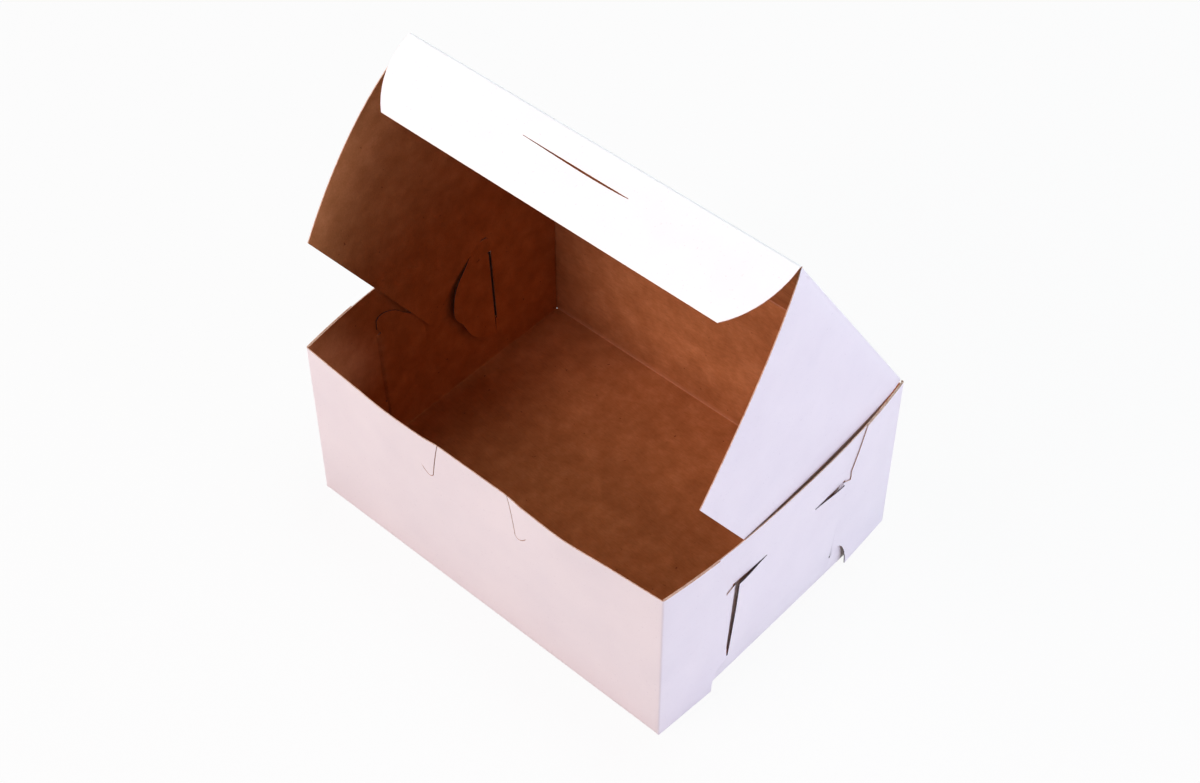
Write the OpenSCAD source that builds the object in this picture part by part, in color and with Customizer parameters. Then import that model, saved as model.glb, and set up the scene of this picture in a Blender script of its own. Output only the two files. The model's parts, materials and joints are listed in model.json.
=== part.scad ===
// Lock-corner bakery box, folded from one sheet of thin board, with its lid standing part open.
// The origin is on the table at the middle of the box: +X right, +Y to the hinge, +Z up.

/* [Box] */
// Width of the box across the front, outside
box_w = 229; // [200:1:260]
// Depth of the box from front wall to back wall, outside
box_d = 176; // [160:1:210]
// Height of the walls
box_h = 105; // [98:1:130]
// Thickness of the board
board = 0.5; // [0.4:0.05:0.7]
// How far the front rim bows out at its middle
front_bow = 3.8; // [0:0.1:6]
// How far the side rims bow out at their middle
side_bow = 6.2; // [0:0.1:8]

/* [Corner locks] */
// Distance of the lock slits from the front and back corners
lock_s = 48; // [44:1:54]
// Height of the top of a lock slit
lock_top = 75; // [68:1:82]
// Height of the bottom of a lock slit
lock_low = 15; // [10:1:22]
// Run over which the board dives through the slit
dive = 2; // [1.6:0.1:3]
// Length of a corner flap along the rim
flap_head = 34; // [28:1:40]
// Length of a corner flap along the table
flap_foot = 35; // [28:1:40]
// How far the foot of a corner flap stands out at its free end
foot_lift = 2; // [0:0.1:3]
// Reach of the tongue past the slit
tongue_reach = 27; // [22:1:32]
// Height of the tip of the tongue
tongue_tip = 49; // [44:1:56]
// Height of the hook above the top of the slit
hook_rise = 6.4; // [3:0.2:9]
// Length of the level slit above the tongue
window_run = 22; // [16:1:28]

/* [Front tab] */
// Half the width of the lock tab at the rim
tab_half = 22.4; // [16:0.2:26]
// Depth of the two cuts beside the tab
cut_depth = 27; // [20:1:34]
// How far each cut leans out on its way down
cut_flare = 4.6; // [0:0.2:8]
// Width of the hook at the foot of each cut
cut_hook = 5.5; // [3:0.5:8]
// Width of the cuts themselves
cut_w = 0.4; // [0.2:0.1:0.8]

/* [Lid] */
// Opening of the lid from shut, in degrees
lid_open = 57; // [50:1:70]
// Height of the front flap
front_flap_h = 38.6; // [30:0.2:46]
// Straight part of the front flap's sides, below the fold
front_flap_straight = 4; // [2:0.5:8]
// Radius of the front flap's rounded sides
front_flap_r = 48; // [46:1:70]
// Length of the slit in the front flap
slit_l = 59; // [54:1:66]
// Distance of the slit from the fold
slit_down = 13.8; // [8:0.2:20]
// Width of the slit
slit_w = 0.8; // [0.4:0.1:1.5]
// Length of a side flap along its free edge
side_flap_l = 123; // [100:1:140]
// How far the front edge of a side flap bulges forward of straight
side_flap_belly = 5; // [0:0.5:8]
// Slope of a side flap's back edge, over its whole height
side_flap_rake = 6; // [2:0.5:12]
// Distance of a side flap's fold from the hinge, and from the front fold
side_flap_inset = 1; // [0.8:0.1:2]

/* [Fits] */
// Gap between layers of board at the corners
layer_gap = 0.15; // [0.1:0.05:0.3]
// Gap at each fold that moves
fold_gap = 0.15; // [0.1:0.05:0.3]
// Gap between the lid's side flaps and the side panels
lid_side_gap = 0.35; // [0.25:0.05:0.8]
// Gap between the swinging front flap and the front wall
lid_front_gap = 0.3; // [0.2:0.05:1]
// Gap between the shut side flaps and the floor
floor_gap = 0.8; // [0.4:0.1:2]
// Gap round the board where it passes a slit
cut_gap = 0.2; // [0.15:0.05:0.4]

/* [Hidden] */
paper_white = [0.95, 0.94, 0.95];
round_fn = 32;
curve_steps = 6;
wall_steps = 8;
bow_power = 2.4;
spare = 5;

// Layers at a side wall, counted inwards from the corner flaps
layer = board + layer_gap;
panel_face = layer;

// The lid turns about the middle of its own board, just above the back wall
hinge_y = box_d / 2 - board / 2;
hinge_z = box_h + fold_gap + board / 2;
lid_w = box_w - 2 * (panel_face + board + lid_side_gap);
front_reach = hinge_y + box_d / 2 - board - lid_front_gap;
lid_l = sqrt(front_reach * front_reach - front_flap_h * front_flap_h);

// A side flap hangs from an axis just under the lid
flap_axis = board + fold_gap;
side_flap_h = hinge_z - flap_axis - board - floor_gap;

// A point on the curve from a to c that is pulled towards b
function pulled(a, b, c, f) = (1 - f) * (1 - f) * a + 2 * f * (1 - f) * b + f * f * c;
function curve(a, b, c) = [for (i = [0 : curve_steps]) pulled(a, b, c, i / curve_steps)];

// Bow of a wall of the given length, 0 at its corners and 1 in its middle
function bow_at(s, length) = 1 - pow(abs(2 * s / length - 1), bow_power);

// Outer face of each sheet, as its distance out from the plain box
function front_face(s, z) = front_bow * bow_at(s, box_w) * z / box_h;
function panel_out(s, z) = side_bow * bow_at(s, box_d) * z / box_h - panel_face;
function corner_out(s, z) =
    side_bow * bow_at(s, box_d) * z / box_h + foot_lift * min(1, s / flap_foot) * (1 - z / box_h);
function flap_out(s, z) = s < lock_s ? corner_out(s, z) : panel_out(s, z) - layer;

// Stations along a side wall, which all its layers share
flap_stations = concat(
    [for (i = [0 : wall_steps]) (lock_s - dive / 2) * i / wall_steps],
    [for (i = [0 : wall_steps]) lock_s + dive / 2 + (tongue_reach + spare) * i / wall_steps]
);
half_panel = concat([layer], [for (s = flap_stations) if (s > layer && s < box_d / 2) s]);
panel_stations = concat(
    half_panel,
    [box_d / 2],
    [for (i = [len(half_panel) - 1 : -1 : 0]) box_d - half_panel[i]]
);
front_stations = [for (i = [0 : 2 * wall_steps]) box_w * i / (2 * wall_steps)];

// A sheet that stands along +X with its outer face towards -Y, bowed by the function out(s, z)
module standing_sheet(stations, height, out) {
    n = len(stations);
    faces_out = [for (z = [0, height]) for (s = stations) [s, -out(s, z), z]];
    faces_in = [for (z = [0, height]) for (s = stations) [s, board - out(s, z), z]];
    strips = [
        for (i = [0 : n - 2])
            let (a = i, b = i + 1, up = n, inner = 2 * n)
                each [
                    [a, a + up, b + up],
                    [a, b + up, b],
                    [a + inner, b + up + inner, a + up + inner],
                    [a + inner, b + inner, b + up + inner],
                    [a + up, a + up + inner, b + up + inner],
                    [a + up, b + up + inner, b + up],
                    [a, b + inner, a + inner],
                    [a, b, b + inner]
                ]
    ];
    ends = [
        [2 * n, 3 * n, n],
        [2 * n, n, 0],
        [n - 1, 2 * n - 1, 4 * n - 1],
        [n - 1, 4 * n - 1, 3 * n - 1]
    ];
    polyhedron(points = concat(faces_out, faces_in), faces = concat(strips, ends));
}

// Stands a flat outline up along +X, thick enough to cut right through a bowed wall
module upright(reach) rotate([90, 0, 0]) linear_extrude(2 * reach, center = true) children();

// Puts what stands along +X on the right side wall, measured from its front corner
module on_right() translate([box_w / 2, -box_d / 2, 0]) rotate([0, 0, 90]) children();

module both(axis) {
    children();
    mirror(axis) children();
}

// A knife cut drawn as a thin line from point to point
module knife_cut(points, width) {
    for (i = [0 : len(points) - 2])
        hull() {
            translate(points[i]) circle(d = width, $fn = 8);
            translate(points[i + 1]) circle(d = width, $fn = 8);
        }
}

// Corner flap with its hooked tongue, drawn flat from the corner of the box
module corner_flap_outline() {
    outer_s = lock_s - dive / 2;
    inner_s = lock_s + dive / 2;
    hook_z = lock_top + hook_rise;
    tip_s = lock_s + tongue_reach;
    shoulder = [tip_s - tongue_reach / 10, tongue_tip + hook_rise];
    heel = [tip_s - tongue_reach / 6, tongue_tip - hook_rise];
    free_edge = curve([flap_head, box_h], [lock_s - dive * 4, lock_top + hook_rise], [outer_s, lock_top]);
    hook = curve([inner_s + dive * 4, hook_z], [shoulder[0] - dive, hook_z], shoulder);
    tip = curve(shoulder, [tip_s + dive, tongue_tip], heel);
    polygon(concat(
        [[0, 0], [flap_foot, 0], [outer_s, lock_low]],
        [for (i = [len(tip) - 1 : -1 : 1]) tip[i]],
        [for (i = [len(hook) - 1 : -1 : 0]) hook[i]],
        [[inner_s, hook_z], [inner_s, lock_top], [lock_s, lock_top - dive / 2]],
        [for (i = [len(free_edge) - 1 : -1 : 0]) free_edge[i]],
        [[0, box_h]]
    ));
}

module corner_flap() {
    on_right()
        intersection() {
            standing_sheet(flap_stations, box_h, function(s, z) flap_out(s, z));
            upright(box_w / 4) corner_flap_outline();
        }
}

// The slits of one lock: an upright one for the tongue and a level one above it
module lock_slits() {
    half = dive / 2 + cut_gap;
    translate([lock_s - half, lock_low - cut_gap]) square([2 * half, lock_top - lock_low + 2 * cut_gap]);
    translate([lock_s - dive, lock_top - cut_gap]) square([window_run + dive, 2 * cut_gap]);
}

module side_panel() {
    on_right()
        difference() {
            standing_sheet(panel_stations, box_h, function(s, z) panel_out(s, z));
            upright(box_w / 4) {
                lock_slits();
                translate([box_d, 0]) mirror([1, 0]) lock_slits();
            }
        }
}

module tab_cuts() {
    foot = [tab_half + cut_flare, box_h - cut_depth + cut_hook];
    both([1, 0])
        knife_cut(
            concat(
                [[tab_half, box_h + board]],
                curve(foot, [foot[0] + cut_hook / 3, foot[1] - 2 * cut_hook], foot + [cut_hook, 0])
            ),
            cut_w
        );
}

module front_wall() {
    difference() {
        translate([-box_w / 2, -box_d / 2, 0])
            standing_sheet(front_stations, box_h, function(s, z) front_face(s, z));
        translate([0, -box_d / 2, 0]) upright(box_d / 8) tab_cuts();
    }
}

module tray() {
    color(paper_white)
        union() {
            translate([panel_face - box_w / 2, -box_d / 2, 0])
                cube([box_w - 2 * panel_face, box_d, board]);
            translate([-box_w / 2, box_d / 2 - board, 0]) cube([box_w, board, box_h]);
            front_wall();
            both([1, 0, 0]) {
                side_panel();
                both([0, 1, 0]) corner_flap();
            }
        }
}

// Places a piece drawn for the shut lid, with its hinge at the origin, on the open lid
module on_lid() translate([0, hinge_y, hinge_z]) rotate([-lid_open, 0, 0]) children();

// A round bead along X that a flap turns on
module bead(length) rotate([0, 90, 0]) cylinder(d = board, h = length, center = true, $fn = round_fn);

module lid_panel() {
    panel_l = lid_l - board - fold_gap;
    color(paper_white)
        on_lid() {
            translate([-lid_w / 2, -panel_l, -board / 2]) cube([lid_w, panel_l, board]);
            bead(lid_w);
        }
}

module front_flap_outline() {
    drop = front_flap_h - board / 2;
    half = lid_w / 2;
    turn = asin((drop - front_flap_straight) / front_flap_r);
    side = [
        for (i = [0 : curve_steps])
            let (a = turn * i / curve_steps)
                [
                    half - front_flap_r * (1 - cos(a)),
                    -front_flap_straight - front_flap_r * sin(a)
                ]
    ];
    difference() {
        polygon(concat(
            [[-half, 0], [half, 0]],
            side,
            [for (i = [curve_steps : -1 : 0]) [-side[i][0], side[i][1]]]
        ));
        translate([-slit_l / 2, board / 2 - slit_down - slit_w / 2]) square([slit_l, slit_w]);
    }
}

module lid_front_flap() {
    color(paper_white)
        on_lid()
            translate([0, board / 2 - lid_l, 0]) {
                rotate([90, 0, 0]) linear_extrude(board, center = true) front_flap_outline();
                bead(lid_w);
            }
}

// Side flap drawn with X as the distance from the hinge and Y as the depth below its axis
module side_flap_outline() {
    front = lid_l - board - fold_gap - side_flap_inset;
    tip = [side_flap_inset + side_flap_rake + side_flap_l, -side_flap_h];
    middle = ([front, 0] + tip) / 2 + [side_flap_belly, 0] * 2;
    polygon(concat(
        [[side_flap_inset, 0], [side_flap_inset + side_flap_rake, -side_flap_h]],
        curve(tip, middle, [front, 0])
    ));
}

module side_flap() {
    bead_l = lid_l - board - fold_gap - 2 * side_flap_inset;
    on_lid()
        translate([lid_w / 2 - board / 2, 0, -flap_axis]) {
            rotate([90, 0, -90]) linear_extrude(board, center = true) side_flap_outline();
            translate([0, -side_flap_inset - bead_l / 2, 0]) rotate([0, 0, 90]) bead(bead_l);
        }
}

module lid_right_flap() color(paper_white) side_flap();

module lid_left_flap() color(paper_white) mirror([1, 0, 0]) side_flap();

tray();
lid_panel();
lid_front_flap();
lid_left_flap();
lid_right_flap();
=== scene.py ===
"""Looks of a lock-corner bakery box: thin board, white outside and bare kraft inside, its lid part open."""

import json
import math

import bmesh
import bpy
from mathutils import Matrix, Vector, noise


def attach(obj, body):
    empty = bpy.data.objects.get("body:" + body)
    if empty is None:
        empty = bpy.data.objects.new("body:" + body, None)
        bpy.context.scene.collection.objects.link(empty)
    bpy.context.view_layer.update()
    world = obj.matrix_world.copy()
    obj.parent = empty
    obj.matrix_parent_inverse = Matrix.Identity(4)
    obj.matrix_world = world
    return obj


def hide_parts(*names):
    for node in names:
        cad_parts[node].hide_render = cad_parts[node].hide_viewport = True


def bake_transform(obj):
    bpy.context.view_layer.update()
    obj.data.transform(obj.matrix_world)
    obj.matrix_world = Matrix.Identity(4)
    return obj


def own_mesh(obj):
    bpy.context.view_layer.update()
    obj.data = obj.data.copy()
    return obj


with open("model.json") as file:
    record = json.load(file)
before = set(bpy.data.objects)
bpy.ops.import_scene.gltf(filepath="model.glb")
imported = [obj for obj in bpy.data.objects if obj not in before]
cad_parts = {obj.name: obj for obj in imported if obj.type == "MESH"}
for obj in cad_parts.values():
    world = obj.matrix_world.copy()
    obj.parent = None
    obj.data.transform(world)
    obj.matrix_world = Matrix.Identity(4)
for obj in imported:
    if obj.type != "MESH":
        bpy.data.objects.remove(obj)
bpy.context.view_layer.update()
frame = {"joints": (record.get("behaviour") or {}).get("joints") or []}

# Camera
# The photograph looks down on the box's front right corner with a long lens.
# Its place comes from the box's own corners, seen in a 1200 x 783 picture.
camera_place = (0.4674, -0.5209, 0.8559)
camera_azimuth, camera_elevation = 42.02, 47.75
lens = 64.0
camera = bpy.data.objects.new("camera", bpy.data.cameras.new("camera"))
bpy.context.scene.collection.objects.link(camera)
camera.data.lens = lens
camera.data.sensor_width = 36
camera.location = camera_place
camera.rotation_euler = (math.radians(90 - camera_elevation), 0, math.radians(camera_azimuth))
camera.data.clip_start, camera.data.clip_end = 0.01, 60
bpy.context.scene.camera = camera

# Board
# One sheet of 0.5 mm board. The outside is clay coated white with a soft sheen, the inside
# is bare brown kraft with mottling, fibres and specks, and the cut edge shows the kraft core.
mm = 0.001
board = 0.5


def board_material(name, roughness):
    made = bpy.data.materials.new(name)
    made.use_nodes = True
    shader = made.node_tree.nodes["Principled BSDF"]
    shader.inputs["Roughness"].default_value = roughness
    return made, made.node_tree.nodes, made.node_tree.links, shader


def noise_node(nodes, links, where, scale, detail, rough=0.55):
    """A noise at a scale given in patches per metre."""
    made = nodes.new("ShaderNodeTexNoise")
    made.inputs["Scale"].default_value = scale
    made.inputs["Detail"].default_value = detail
    made.inputs["Roughness"].default_value = rough
    links.new(where, made.inputs["Vector"])
    return made.outputs["Fac"]


def ramp_node(nodes, links, value, stops):
    """A colour ramp: stops are (place, colour) pairs."""
    made = nodes.new("ShaderNodeValToRGB")
    while len(made.color_ramp.elements) < len(stops):
        made.color_ramp.elements.new(0.5)
    for element, (place, colour) in zip(made.color_ramp.elements, stops):
        element.position = place
        element.color = (*colour, 1)
    links.new(value, made.inputs["Fac"])
    return made.outputs["Color"]


def mix_node(nodes, links, blend, share, first, second):
    """Mixes two colours; share is a number or a socket, and a colour may be either too."""
    made = nodes.new("ShaderNodeMix")
    made.data_type = "RGBA"
    made.blend_type = blend
    for socket, given in ((made.inputs[0], share), (made.inputs[6], first), (made.inputs[7], second)):
        if isinstance(given, bpy.types.NodeSocket):
            links.new(given, socket)
        elif isinstance(given, tuple):
            socket.default_value = (*given, 1)
        else:
            socket.default_value = given
    return made.outputs[2]


def grain_bump(nodes, links, shader, height, depth):
    made = nodes.new("ShaderNodeBump")
    made.inputs["Distance"].default_value = depth
    made.inputs["Strength"].default_value = 1.0
    links.new(height, made.inputs["Height"])
    links.new(made.outputs["Normal"], shader.inputs["Normal"])


def object_place(nodes):
    return nodes.new("ShaderNodeTexCoord").outputs["Object"]


def crease_value(nodes):
    made = nodes.new("ShaderNodeAttribute")
    made.attribute_name = "crease"
    return made.outputs["Fac"]


white = (0.90, 0.89, 0.905)
white_soft = (0.86, 0.85, 0.875)
white_crease = (0.74, 0.71, 0.73)
coat, nodes, links, shader = board_material("white_coated_board", 0.46)
place = object_place(nodes)
tone = ramp_node(nodes, links, noise_node(nodes, links, place, 34, 4), [(0.3, white_soft), (0.7, white)])
flecks = ramp_node(
    nodes, links, noise_node(nodes, links, place, 900, 2), [(0.27, (0.80, 0.79, 0.82)), (0.33, (1, 1, 1))]
)
toned = mix_node(nodes, links, "MULTIPLY", 0.5, tone, flecks)
creased = mix_node(nodes, links, "MIX", crease_value(nodes), toned, white_crease)
links.new(creased, shader.inputs["Base Color"])
fine = noise_node(nodes, links, place, 1500, 5, 0.6)
grain_bump(nodes, links, shader, fine, 0.00006)

kraft_dark = (0.470, 0.190, 0.065)
kraft_mid = (0.550, 0.232, 0.085)
kraft_pale = (0.640, 0.285, 0.115)
kraft_crease = (0.76, 0.40, 0.24)
kraft, nodes, links, shader = board_material("kraft_inside", 0.82)
shader.inputs["Specular IOR Level"].default_value = 0.25
place = object_place(nodes)
mottle = ramp_node(
    nodes,
    links,
    noise_node(nodes, links, place, 85, 6, 0.62),
    [(0.32, kraft_dark), (0.5, kraft_mid), (0.68, kraft_pale)],
)
cloud = ramp_node(
    nodes, links, noise_node(nodes, links, place, 16, 3), [(0.3, (0.84, 0.82, 0.80)), (0.7, (1, 1, 1))]
)
clouded = mix_node(nodes, links, "MULTIPLY", 1.0, mottle, cloud)
fibre_place = nodes.new("ShaderNodeMapping")
fibre_place.inputs["Scale"].default_value = (260, 1500, 900)
fibre_place.inputs["Rotation"].default_value = (0.3, 0.2, 0.5)
links.new(place, fibre_place.inputs["Vector"])
fibre = noise_node(nodes, links, fibre_place.outputs["Vector"], 1, 3, 0.7)
fibres = ramp_node(nodes, links, fibre, [(0.35, (0.80, 0.76, 0.72)), (0.62, (1.12, 1.12, 1.12))])
fibred = mix_node(nodes, links, "MULTIPLY", 0.4, clouded, fibres)
speck = ramp_node(
    nodes,
    links,
    noise_node(nodes, links, place, 330, 2, 0.5),
    [(0.235, (0.42, 0.34, 0.30)), (0.27, (1, 1, 1))],
)
specked = mix_node(nodes, links, "MULTIPLY", 0.8, fibred, speck)
creased = mix_node(nodes, links, "MIX", crease_value(nodes), specked, kraft_crease)
links.new(creased, shader.inputs["Base Color"])
grain_bump(nodes, links, shader, fibre, 0.00012)

edge, nodes, links, shader = board_material("cut_edge", 0.85)
place = object_place(nodes)
core = noise_node(nodes, links, place, 700, 3)
links.new(
    ramp_node(nodes, links, core, [(0.3, (0.50, 0.30, 0.20)), (0.7, (0.78, 0.58, 0.46))]),
    shader.inputs["Base Color"],
)
grain_bump(nodes, links, shader, noise_node(nodes, links, place, 2200, 3), 0.00008)

# Painted shade: a near-black material for the cut edges in the slits and at the flap feet, and for the kraft
# seen through the back tongues' slots, standing in for the shadow in these narrow gaps.
painted_slit_shade, nodes, links, shader = board_material("painted_gap_shade", 0.9)
place = object_place(nodes)
slit_shade_noise = noise_node(nodes, links, place, 700, 3)
links.new(
    ramp_node(nodes, links, slit_shade_noise, [(0.3, (0.018, 0.012, 0.013)), (0.7, (0.050, 0.034, 0.033))]),
    shader.inputs["Base Color"],
)
grain_bump(nodes, links, shader, slit_shade_noise, 0.00008)


# Floor and side panels
# The floor and both side panels are one strip, creased along the floor's two sides. Each side
# panel has two upright slits for the tongues, and a level slit running in from the top of each.
box_w, box_d, box_h = 229.0, 176.0, 105.0
layer = board + 0.15
fold_r = 0.9
panel_x = box_w / 2 - layer
side_bow, bow_power = 6.2, 2.4
lock_s, lock_top, lock_low = 48.0, 75.0, 15.0
dive, slit_half = 2.0, 0.75
level_gap = 0.2
window_run = 22.0
flap_foot, foot_lift, lift_top = 35.5, 2.4, 26.0
slit_flare, middle_flare, flare_rise = 2.1, 3.42, 26
slit_back, slit_back_low = 1.9, 27.0


def smooth(low, high, value):
    share = min(1.0, max(0.0, (value - low) / (high - low)))
    return share * share * (3 - 2 * share)


def wave(x, y, z, reach, size):
    """A slow unevenness of the board, in mm."""
    return size * noise.noise(Vector((x / reach, y / reach, z / reach)))


def wall_bow(s, z):
    """How far a side wall bows out, s from its front corner and z up."""
    return side_bow * (1 - abs(2 * s / box_d - 1) ** bow_power) * z / box_h


def window_flare(s, z):
    """How far the piece between the slits springs out of its side panel, from its floor crease."""
    own = min(s, box_d - s)
    if z > lock_top:
        return 0.0
    spring = (1 - (1 - min(1.0, z / flare_rise)) ** 2) * (0.55 + 0.35 * smooth(15, 60, z))
    if own >= lock_s:
        at_slit = 1 - smooth(lock_s, lock_s + window_run + 4, own)
        in_middle = middle_flare * (1 - at_slit) * (1 - smooth(14, lock_top, z))
        return spring * (slit_flare * at_slit + in_middle)
    return spring * slit_flare * smooth(lock_s - 5, lock_s, own) * (1 - smooth(lock_low - 2, lock_low + 8, z))


def along(start, end, step):
    """Even stations from start to end, no further apart than step."""
    count = max(1, math.ceil((end - start) / step))
    return [start + (end - start) * i / count for i in range(count + 1)]


def score(bm, across, up):
    """Cuts flat board into a grid along the stations given."""
    for axis, stations in ((0, across), (1, up)):
        normal = Vector((1, 0, 0)) if axis == 0 else Vector((0, 1, 0))
        for at in stations:
            whole = bm.verts[:] + bm.edges[:] + bm.faces[:]
            bmesh.ops.bisect_plane(bm, geom=whole, dist=1e-5, plane_co=normal * at, plane_no=normal)


def cut_out(bm, x0, x1, y0, y1):
    """Removes the faces inside a rectangle whose sides are already scored."""
    inside = [
        f
        for f in bm.faces
        if x0 < f.calc_center_median().x < x1 and y0 < f.calc_center_median().y < y1
    ]
    bmesh.ops.delete(bm, geom=inside, context="FACES")


def flat_board(points):
    """A flat outline in mm, ready to be scored and folded."""
    bm = bmesh.new()
    bm.faces.new([bm.verts.new((x, y, 0)) for x, y in points])
    bm.normal_update()
    return bm


def finish_board(name, bm, fold, crease, underside=False):
    """Folds flat board with fold(x, y), gives it its thickness inwards and its three surfaces."""
    mark = bm.verts.layers.float.new("crease")
    for v in bm.verts:
        v[mark] = crease(v.co.x, v.co.y)
        v.co = Vector(fold(v.co.x, v.co.y)) * mm
    if underside:
        bmesh.ops.reverse_faces(bm, faces=bm.faces[:])
    bm.normal_update()
    outer = bm.faces[:]
    made = bmesh.ops.extrude_face_region(bm, geom=outer, use_keep_orig=True)["geom"]
    inner = {g for g in made if isinstance(g, bmesh.types.BMFace)}
    outer = set(outer)
    bm.normal_update()
    for v in (g for g in made if isinstance(g, bmesh.types.BMVert)):
        total = Vector((0, 0, 0))
        for f in v.link_faces:
            if f in inner:
                total += f.normal * f.calc_area()
        v.co -= total.normalized() * board * mm
    for f in bm.faces:
        f.material_index = 0 if f in outer else 1 if f in inner else 2
        f.smooth = True
    bmesh.ops.recalc_face_normals(bm, faces=bm.faces[:])
    mesh = bpy.data.meshes.new(name)
    bm.to_mesh(mesh)
    bm.free()
    for material in (coat, kraft, edge, painted_slit_shade):
        mesh.materials.append(material)
    mesh.set_sharp_from_angle(angle=math.radians(35))
    piece = bpy.data.objects.new(name, mesh)
    bpy.context.scene.collection.objects.link(piece)
    return piece


def near(value, at, reach):
    """1 at a crease line, falling to 0 at reach."""
    return max(0.0, 1 - abs(value - at) / reach)


half_floor = panel_x - fold_r
arc = fold_r * math.pi / 2
rise_start = half_floor + arc
strip_half = rise_start + box_h - fold_r
strip_end = box_d / 2 - fold_r


def fold_side_strip(across, y):
    """The flat strip: across from the middle of the floor, y as on the box."""
    side = 1 if across > 0 else -1
    away = abs(across)
    s = y + box_d / 2
    if away <= half_floor:
        return across, y, 0
    turn = min(1.0, (away - half_floor) / arc) * math.pi / 2
    x = half_floor + fold_r * math.sin(turn)
    z = fold_r * (1 - math.cos(turn)) + max(0.0, away - rise_start)
    out = wall_bow(s, z) + window_flare(s, z)
    return side * (x + out), y, z


def side_strip_crease(across, y):
    return 0.1 * near(abs(across), half_floor + arc / 2, 1.1)


bm = flat_board(
    [(-strip_half, -strip_end), (strip_half, -strip_end), (strip_half, strip_end), (-strip_half, strip_end)]
)
level_end = lock_s + window_run
to_height = rise_start - fold_r
rise_lines = [to_height + z for z in (lock_low, slit_back_low, lock_top - level_gap, lock_top + level_gap)]
rise_lines += along(to_height + 4, to_height + box_h - 2, 4) + [half_floor, half_floor + arc / 2, rise_start]
rise_lines += [half_floor + arc * i / 6 for i in (1, 2, 4, 5)] + [half_floor - 1]
lock_lines = [lock_s - slit_half, lock_s, lock_s + slit_half, lock_s - slit_back, lock_s - dive, level_end]
lock_lines += along(lock_s - 12, lock_s + 26, 2)
score(
    bm,
    [side * at for side in (-1, 1) for at in rise_lines] + along(-100, 100, 10),
    [side * (box_d / 2 - s) for side in (-1, 1) for s in lock_lines] + along(-strip_end, strip_end, 4),
)
for side in (-1, 1):
    for end in (-1, 1):
        for x0, x1, s0, s1 in (
            (lock_low, lock_top + level_gap, lock_s - slit_half, lock_s + slit_half),
            (slit_back_low, lock_top + level_gap, lock_s - slit_back, lock_s),
            (lock_top - level_gap, lock_top + level_gap, lock_s - dive, level_end),
        ):
            xs = sorted(side * (to_height + x) for x in (x0, x1))
            ys = sorted(end * (box_d / 2 - s) for s in (s0, s1))
            cut_out(bm, *xs, *ys)
side_strip = finish_board("floor_and_side_panels", bm, fold_side_strip, side_strip_crease, underside=True)
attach(side_strip, "tray")
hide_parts("tray")

# Front wall with its corner flaps
# The front wall wraps round both corners into flaps that lie outside the side panels. Each flap
# ends in a hooked tongue, pushed through the slit. Two J cuts at the rim leave a lock tab.
flap_head = 34.0
tongue_reach, hook_rise = 30.5, 11.6
rim_bulge = 3.5
left_bulge, right_bulge, tab_back = 0.7, 1.45, 1.0
tab_half, cut_depth, cut_flare, cut_w = 22.4, 26.0, 5.6, 0.45


def pulled(a, b, c, steps):
    """Points on the curve from a to c that is pulled towards b."""
    return [
        tuple((1 - f) ** 2 * p + 2 * f * (1 - f) * q + f * f * r for p, q, r in zip(a, b, c))
        for f in (i / steps for i in range(steps + 1))
    ]


def flap_outline(notch):
    """Free edge of a corner flap, as (distance from the corner, height), from the table to the rim."""
    hook_z = lock_top + hook_rise
    tip = lock_s + tongue_reach
    return (
        [(flap_foot, 0.0)]
        + pulled((flap_foot + 0.2, 1.5), (flap_foot + 0.8, notch - 1), (lock_s - 4, notch), 7)
        + [(lock_s, max(notch - 4, lock_low))]
        + pulled((lock_s + 9, 20), (tip - 11, 26), (tip - 6, 41.5), 5)
        + pulled((tip - 4.5, 44), (tip + 1, 49), (tip - 0.4, 57), 5)
        + pulled((tip - 1.5, 63), (tip - 4, 71), (tip - 9.5, 75), 5)
        + pulled((tip - 13, 78), (lock_s + 12, hook_z - 1.5), (lock_s + 4, hook_z), 5)
        + [(lock_s + 1, hook_z - 0.4), (lock_s - 0.6, hook_z - 2)]
        + [(lock_s - 0.8, lock_top + 4), (lock_s + 1, lock_top + 1)]
        + [(lock_s + 1, lock_top), (lock_s - 1, lock_top - 0.4)]
        + [(lock_s - 4, lock_top - 2.2), (lock_s - 6.4, lock_top - 3.8), (lock_s - 6.6, lock_top - 1)]
        + [(lock_s - 6, lock_top + 3), (38.0, 90.0), (flap_head, box_h)]
    )


def cut_line(side):
    """Both banks of one J cut, from the rim down and back up, on the side given."""
    foot = box_h - cut_depth
    bend = tab_half + cut_flare
    middle = pulled((tab_half, box_h), (tab_half + 2.6, box_h - 11), (bend - 1.6, foot + 4), 4)
    middle += pulled((bend - 1.3, foot + 2), (bend + 1.2, foot - 2.8), (tab_half + 12.2, foot + 5.2), 6)
    inner, outer = [], []
    for (x, z), before, after in zip(middle[1:-1], middle, middle[2:]):
        way = Vector((after[0] - before[0], after[1] - before[1])).normalized() * cut_w / 2
        inner.append((x + way.y, z - way.x))
        outer.append((x - way.y, z + way.x))
    inner.insert(0, (tab_half - cut_w / 2, box_h))
    outer.insert(0, (tab_half + cut_w / 2, box_h))
    banks = inner + [middle[-1]] + outer[::-1]
    return [(side * x, z) for x, z in (banks if side < 0 else banks[::-1])]


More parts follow.
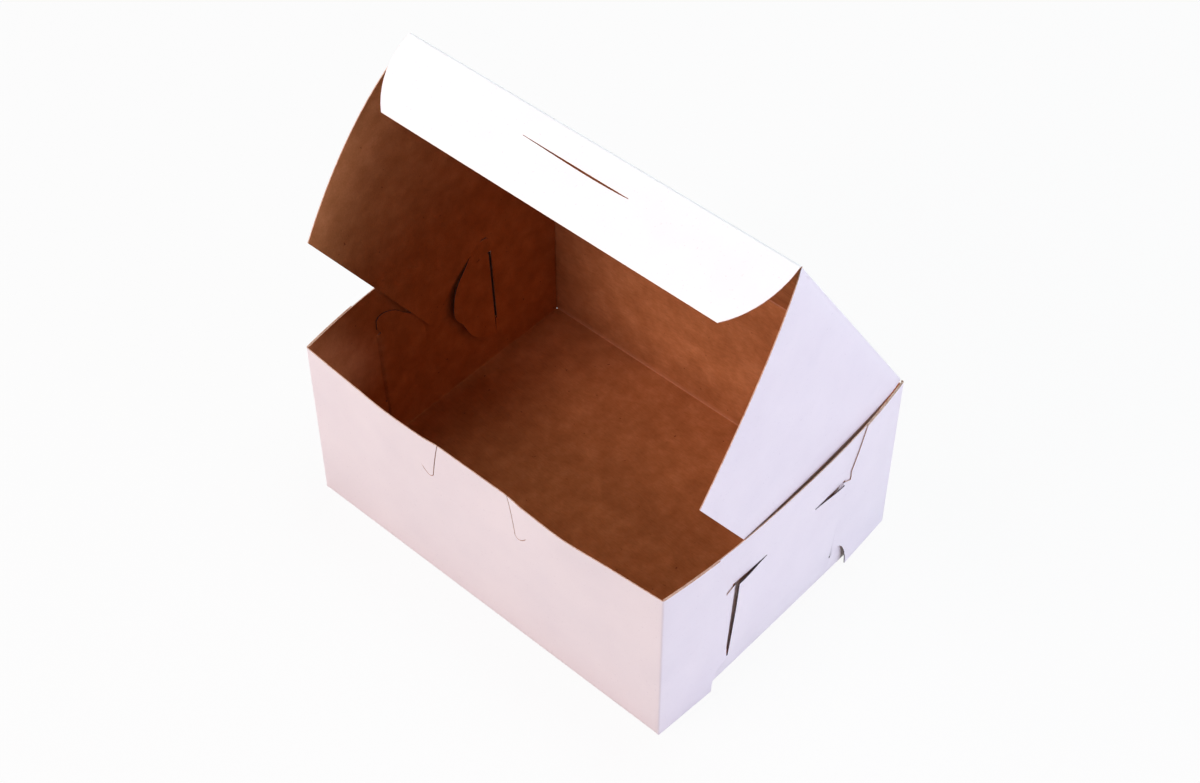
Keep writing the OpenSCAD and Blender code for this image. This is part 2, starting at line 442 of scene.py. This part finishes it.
def fold_round(along_wall, z, wall_out, bow_from, stand):
    """A point of a wall that wraps round both corners into the flaps."""
    side = 1 if along_wall > 0 else -1
    away = abs(along_wall)
    s = away - box_w / 2
    if s <= 0:
        out = wall_out(along_wall, z)
    else:
        bow = wall_bow(bow_from(s), z)
        out = bow + foot_lift * min(1.0, s / flap_foot) * (1 - smooth(0, lift_top, z))
        inner = bow - 2 * layer - stand * smooth(lock_s + 4, lock_s + tongue_reach, s)
        hook = 2.5 * smooth(lock_top, lock_top + 1, z)
        share = smooth(lock_s - dive / 2 - hook, lock_s + dive / 2 - hook, s)
        out = out * (1 - share) + inner * share
    turn = min(1.0, max(0.0, (away - box_w / 2 + fold_r) / (2 * fold_r))) * math.pi / 2
    x = min(away, box_w / 2 - fold_r) + fold_r * math.sin(turn)
    y = -box_d / 2 + fold_r * (1 - math.cos(turn)) + max(0.0, s - fold_r)
    if z < fold_r and away < box_w / 2:
        lean = (1 - math.sin(z / fold_r * math.pi / 2)) * smooth(0, 3, box_w / 2 - away)
        out -= fold_r * lean
        z = fold_r * (1 - math.cos(z / fold_r * math.pi / 2)) if lean > 0 else z
    normal_x, normal_y = math.sin(turn), -math.cos(turn)
    return side * (x + normal_x * out), y + normal_y * out, z


def front_out(x, z):
    """How far the front wall bulges: most beside the lock tab, which stays straighter than its neighbours."""
    rim = rim_bulge * (1 - abs(2 * x / box_w) ** 2.8)
    rim += left_bulge * math.exp(-(((x + 56) / 17) ** 2)) + right_bulge * math.exp(-(((x - 58) / 19) ** 2))
    beside_tab = smooth(tab_half - 1, tab_half + 11, abs(x))
    tab = tab_back * (1 - beside_tab) * smooth(box_h - cut_depth - 12, box_h, z)
    return rim * z / box_h - tab + wave(x, 0, z, 45, 0.2) * smooth(0, 20, z) * (1 - abs(2 * x / box_w) ** 2)


def fold_front(along_wall, z):
    return fold_round(along_wall, z, front_out, lambda s: s, 0.7)


def wall_crease(along_wall, z):
    corner = near(abs(along_wall), box_w / 2, 1.0)
    return 0.5 * max(corner, near(z, 0.5, 1.0) if abs(along_wall) < box_w / 2 else 0)


right_edge = [(box_w / 2 + s, z) for s, z in flap_outline(14.0)]
left_edge = [(-x, z) for x, z in right_edge][::-1]
bm = flat_board(right_edge + cut_line(1) + cut_line(-1) + left_edge)
wall_lines = along(-box_w / 2 + 3, box_w / 2 - 3, 4)
bend_lines = [box_w / 2 + fold_r * i / 3 for i in (-3, -2, -1, 0, 1, 2, 3)]
flap_lines = [box_w / 2 + s for s in along(4, lock_s - 2, 4) + along(lock_s - 1, lock_s + 1, 0.34)]
flap_lines += [box_w / 2 + s for s in along(lock_s + 3, lock_s + 26, 3)]
height_lines = [fold_r * i / 4 for i in range(1, 5)] + along(4, box_h - 2, 4)
score(bm, wall_lines + [side * at for side in (-1, 1) for at in bend_lines + flap_lines], height_lines)
front_wall = finish_board("front_wall_and_corner_flaps", bm, fold_front, wall_crease)


def paint_gap_shade(piece, open_dive=False):
    """Paints shade: the cut edges of tongues, slits and flap feet, and the kraft faces in the back tongues'
    dive, get the near-black material standing in for the shadow in these gaps.
    """
    for face in piece.data.polygons:
        at = face.center / mm
        in_lock = abs(at.y) < box_d / 2 - lock_s + 1.5 and at.z < 95
        at_foot = abs(at.y) < box_d / 2 - flap_foot + 1 and at.z < lock_low + 1
        at_dive = open_dive and 0 < at.y - (box_d / 2 - lock_s) < 2.1 and slit_back_low < at.z < lock_top
        if (face.material_index == 2 and (in_lock or at_foot)) or (face.material_index == 1 and at_dive):
            face.material_index = 3


# Painted shade on the cut edges in the slits and at the flap feet of the front wall and the side panels.
paint_gap_shade(front_wall)
paint_gap_shade(side_strip)
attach(front_wall, "tray")
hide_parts("tray")

# Back wall with its corner flaps
# The same wall turned round, with no cuts. Its straight top ends just below the lid's crease.
hinge_strip = 2.5
tongue_stand = 2.2


def fold_back(along_wall, z):
    x, y, z = fold_round(along_wall, z, lambda a, b: 0.0, lambda s: box_d - s, tongue_stand)
    return -x, -y, z


right_edge = [(box_w / 2 + s, z) for s, z in flap_outline(19.5)]
hinge_half = box_w / 2 - 1.5
right_edge += [(hinge_half, box_h), (hinge_half, box_h - hinge_strip)]
left_edge = [(-x, z) for x, z in right_edge][::-1]
bm = flat_board(right_edge + left_edge)
score(bm, wall_lines + [side * at for side in (-1, 1) for at in bend_lines + flap_lines], height_lines)
back_wall = finish_board("back_wall_and_corner_flaps", bm, fold_back, wall_crease)
# Painted shade on the back wall's slit and foot edges, and on the kraft in its tongues' dives.
paint_gap_shade(back_wall, open_dive=True)
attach(back_wall, "tray")
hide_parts("tray")

# Lid panel
# The lid is creased to the top of the back wall. Its crease bends with it, from the strip of
# wall just below the fold.
joints = {joint["name"]: joint for joint in frame["joints"]}
hinge = Vector(joints["lid_fold"]["pos_m"]) / mm
lid_open = math.radians(-joints["lid_fold"]["range_deg"][0])
along_lid = Vector((0, -math.cos(lid_open), math.sin(lid_open)))
out_of_lid = Vector((0, math.sin(lid_open), math.cos(lid_open)))
lid_w = 226.0
lid_l = 171.4
side_fold = 1.5


def on_lid(x, u, out):
    """A point x across the lid, u ahead of its hinge and out from the middle of its board."""
    return Vector((x, 0, 0)) + hinge + along_lid * u + out_of_lid * out - Vector((hinge.x, 0, 0))


def bent(start, corner, end, share):
    """A point on the round bend between two straight stretches that meet at corner."""
    return start * (1 - share) ** 2 + corner * 2 * share * (1 - share) + end * share * share


def lid_wave(x, u):
    edge_share = smooth(0, 20, u) * smooth(0, 20, lid_l - u) * smooth(0, 15, lid_w / 2 - abs(x))
    return (0.9 * math.sin(math.pi * min(1, u / lid_l)) + wave(x, u, 3, 60, 0.5)) * edge_share


def fold_lid(x, u):
    """Flat lid: u below 0 is the strip of back wall under the hinge."""
    wall_y = box_d / 2
    crease_in = 2.0
    if u <= -crease_in:
        return Vector((x, wall_y, hinge.z + u))
    if u >= crease_in:
        return on_lid(x, u, board / 2 + lid_wave(x, u))
    below = Vector((x, wall_y, hinge.z - crease_in))
    above = on_lid(x, crease_in, board / 2)
    corner = Vector((x, wall_y, hinge.z + board / 2 * math.tan(lid_open / 2)))
    return bent(below, corner, above, (u + crease_in) / (2 * crease_in))


def lid_crease(x, u):
    return near(u, 0, 1.3)


lid_end = lid_l - 2.0
lid_half = lid_w / 2 - side_fold
strip_low = box_h - hinge_strip - hinge.z
bm = flat_board([(-lid_half, strip_low), (lid_half, strip_low), (lid_half, lid_end), (-lid_half, lid_end)])
score(bm, along(-lid_half, lid_half, 6), [i / 3 * 2 for i in range(-3, 4)] + along(4, lid_end, 6))
lid_panel = finish_board("lid_panel", bm, lambda x, u: fold_lid(-x, u), lid_crease)
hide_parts("lid_panel")
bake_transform(lid_panel)

# Front flap of the lid
# It is creased to the lid's front edge, with rounded sides and a slit that takes the lock tab.
# The slit has opened a little towards its right end.
front_flap_h = 38.6
flap_straight, flap_r = 4.0, 48.0
slit_left, slit_right, slit_down, slit_open = -31.0, 30.4, 13.8, 0.75
flap_swing = math.radians(6.5)


def fold_front_flap(x, v):
    """Flat flap: v is the depth below the fold, and below 0 it lies on the lid."""
    edge_in = 2.0
    if v <= -edge_in:
        return on_lid(x, lid_l + v, board / 2)
    if v >= edge_in:
        curl = 0.5 * math.sin(math.pi * min(1, v / front_flap_h)) + 0.1 * math.sin(math.pi * x / lid_w)
        ahead = lid_l + v * math.sin(flap_swing) + curl * smooth(edge_in, 12, v)
        return on_lid(x, ahead, board / 2 - v * math.cos(flap_swing))
    above = on_lid(x, lid_l - edge_in, board / 2)
    below = on_lid(x, lid_l + edge_in * math.sin(flap_swing), board / 2 - edge_in * math.cos(flap_swing))
    return bent(above, on_lid(x, lid_l, board / 2), below, (v + edge_in) / (2 * edge_in))


drop = front_flap_h
turn = math.asin((drop - flap_straight) / flap_r)
half = lid_w / 2
side_curve = [
    (half - flap_r * (1 - math.cos(turn * i / 9)), -flap_straight - flap_r * math.sin(turn * i / 9))
    for i in range(10)
]
outline = [(half, 2.0), (-half, 2.0), (-half, 0.0)] + [(-x, y) for x, y in side_curve]
outline += side_curve[::-1] + [(half, 0.0)]
bm = flat_board(outline)
score(
    bm,
    along(-half + 1, half - 1, 4) + [slit_left, slit_right],
    [2 / 3 * i for i in range(-3, 3)] + [-slit_down - 0.15, -slit_down + 0.15] + along(-drop + 1, -4, 3),
)
cut_out(bm, slit_left, slit_right, -slit_down - 0.15, -slit_down + 0.15)
for v in bm.verts:
    under = smooth(-slit_down - 9, -slit_down - 0.1, v.co.y) if v.co.y < -slit_down else 0
    share = (v.co.x - slit_left) / (slit_right - slit_left)
    if 0 < share < 1:
        v.co.y -= slit_open * under * math.sin(math.pi * share ** 1.5) ** 0.8
front_flap = finish_board(
    "lid_front_flap", bm, lambda x, y: fold_front_flap(x, -y), lambda x, y: 0.5 * near(y, 0, 1)
)
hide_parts("lid_front_flap")
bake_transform(front_flap)

# Side flaps of the lid
# Each is creased to a side of the lid and hangs inside the side panel, as deep as the tray.
# Out of the tray it springs outwards, most at its front.
side_flap_h = 105.6
flap_back = 1.0
tip_u, belly = 134.0, 6.0
spring_back, spring_front, rim_belly = 3.0, 7.8, 1.4
left_curl = 1.8
crease_band = 1.6


def fold_side_flap(u, v, side):
    """Flat side flap: u ahead of the hinge, v the depth below the lid's outer face."""
    flap_x = lid_w / 2
    if v <= -crease_band:
        at = on_lid(flap_x + v, u, board / 2)
    elif v < crease_band:
        start = on_lid(flap_x - crease_band, u, board / 2)
        end = on_lid(flap_x, u, board / 2 - crease_band)
        at = bent(start, on_lid(flap_x, u, board / 2), end, (v + crease_band) / (2 * crease_band))
    else:
        depth = min(1.0, (v - crease_band) / side_flap_h)
        out = (spring_back + (spring_front - spring_back) * u / tip_u) * (1 - (1 - depth) ** 2)
        out += rim_belly * math.sin(math.pi * depth**0.6)
        if side < 0:
            out -= left_curl * smooth(0.8, 1, depth) * near(u, 34, 36)
        at = on_lid(flap_x + out, u, board / 2 - v)
    return Vector((side * at.x, at.y, at.z))


tip = (tip_u, -side_flap_h)
front_top = (lid_l - 2.2, 0.0)
middle = ((tip[0] + front_top[0]) / 2 + belly * 1.6, (tip[1] + front_top[1]) / 2 + belly * 0.8)
front_curve = pulled(tip, middle, front_top, 14)
for side, word in ((1, "right"), (-1, "left")):
    bm = flat_board(
        [(flap_back, crease_band), (flap_back, 0)]
        + pulled((flap_back + 0.3, -1.6), (24.0, -42.0), (7.5, -side_flap_h), 9)
        + front_curve
        + [(front_top[0], crease_band)]
    )
    score(bm, along(4, 168, 6), [crease_band * i / 3 for i in range(-3, 3)] + along(-side_flap_h + 3, -5, 4))
    crease = bm.copy()
    for part, low in ((bm, False), (crease, True)):
        gone = [f for f in part.faces if (f.calc_center_median().y > -crease_band) != low]
        bmesh.ops.delete(part, geom=gone, context="FACES")
    for part, name in ((bm, f"lid_{word}_flap"), (crease, f"lid_{word}_crease")):
        piece = finish_board(
            name,
            part,
            lambda u, y, side=side: fold_side_flap(u, -y, side),
            lambda u, y: 0.5 * near(y, 0, 1),
            underside=side > 0,
        )
        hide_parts(f"lid_{word}_flap")
        if name.endswith("flap"):
            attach(piece, f"{word}_flap")
            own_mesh(piece)
        else:
            end = on_lid(side * lid_w / 2, 80, board / 2 - crease_band) * mm
            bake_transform(piece)

# Studio
# A white table in a light room. A warm soft lamp stands at the front left and looks into the
# box, one hangs over its left, one behind the lid, and two cooler ones stand at its right.


def seeing_rays(nodes, links):
    """1 on rays that see a thing, straight, mirrored or through another, and 0 on rays that light it."""
    ray = nodes.new("ShaderNodeLightPath")
    seen = ray.outputs["Is Camera Ray"]
    for kind in ("Is Glossy Ray", "Is Transmission Ray"):
        either = nodes.new("ShaderNodeMath")
        either.operation = "MAXIMUM"
        links.new(seen, either.inputs[0])
        links.new(ray.outputs[kind], either.inputs[1])
        seen = either.outputs[0]
    return seen


table = bpy.data.objects.new("table", bpy.data.meshes.new("table"))
bm = bmesh.new()
bmesh.ops.create_grid(bm, x_segments=1, y_segments=1, size=12)
bm.to_mesh(table.data)
bm.free()
table.location = (0, 0, -0.0002)
bpy.context.scene.collection.objects.link(table)
table_white = bpy.data.materials.new("table_white")
table_white.use_nodes = True
nodes, links = table_white.node_tree.nodes, table_white.node_tree.links
surface = nodes["Principled BSDF"]
surface.inputs["Base Color"].default_value = (0.62, 0.62, 0.63, 1)
surface.inputs["Roughness"].default_value = 0.9
glow = nodes.new("ShaderNodeEmission")
glow.inputs["Strength"].default_value = 1.0
glow_share = nodes.new("ShaderNodeMath")
glow_share.operation = "MULTIPLY"
glow_share.inputs[1].default_value = 0.93
links.new(seeing_rays(nodes, links), glow_share.inputs[0])
mixed = nodes.new("ShaderNodeMixShader")
links.new(glow_share.outputs[0], mixed.inputs[0])
links.new(surface.outputs[0], mixed.inputs[1])
links.new(glow.outputs[0], mixed.inputs[2])
links.new(mixed.outputs[0], nodes["Material Output"].inputs["Surface"])
table.data.materials.append(table_white)

world = bpy.data.worlds.new("studio")
bpy.context.scene.world = world
world.use_nodes = True
nodes, links = world.node_tree.nodes, world.node_tree.links
room = nodes["Background"]
room.inputs["Color"].default_value = (1.0, 0.95, 0.97, 1)
room.inputs["Strength"].default_value = 0.07
backdrop = nodes.new("ShaderNodeBackground")
backdrop.inputs["Color"].default_value = (1, 1, 1, 1)
mixed = nodes.new("ShaderNodeMixShader")
links.new(seeing_rays(nodes, links), mixed.inputs[0])
links.new(room.outputs[0], mixed.inputs[1])
links.new(backdrop.outputs[0], mixed.inputs[2])
links.new(mixed.outputs[0], nodes["World Output"].inputs["Surface"])

for name, spot, size, power, colour in (
    ("front_left", (-0.45, -1.6, 1.15), 0.8, 22.5, (1.0, 0.73, 0.735)),
    ("over_left", (-0.75, -0.8, 1.7), 0.8, 9.5, (1.0, 0.86, 0.80)),
    ("behind_lid", (0.0, 0.55, 2.0), 0.8, 21, (0.77, 1.0, 1.0)),
    ("right", (1.6, 0.9, 0.6), 1.0, 12, (0.83, 0.775, 1.0)),
    ("low_right", (1.6, 0.02, 0.42), 0.2, 7, (0.88, 0.78, 1.0)),
):
    lamp = bpy.data.objects.new(name, bpy.data.lights.new(name, "AREA"))
    lamp.data.size = size
    lamp.data.energy = power
    lamp.data.color = colour
    lamp.location = spot
    lamp.rotation_euler = (Vector((0, 0, 0.08)) - Vector(spot)).to_track_quat("-Z", "Y").to_euler()
    bpy.context.scene.collection.objects.link(lamp)
bpy.context.scene.view_settings.view_transform = "Standard"
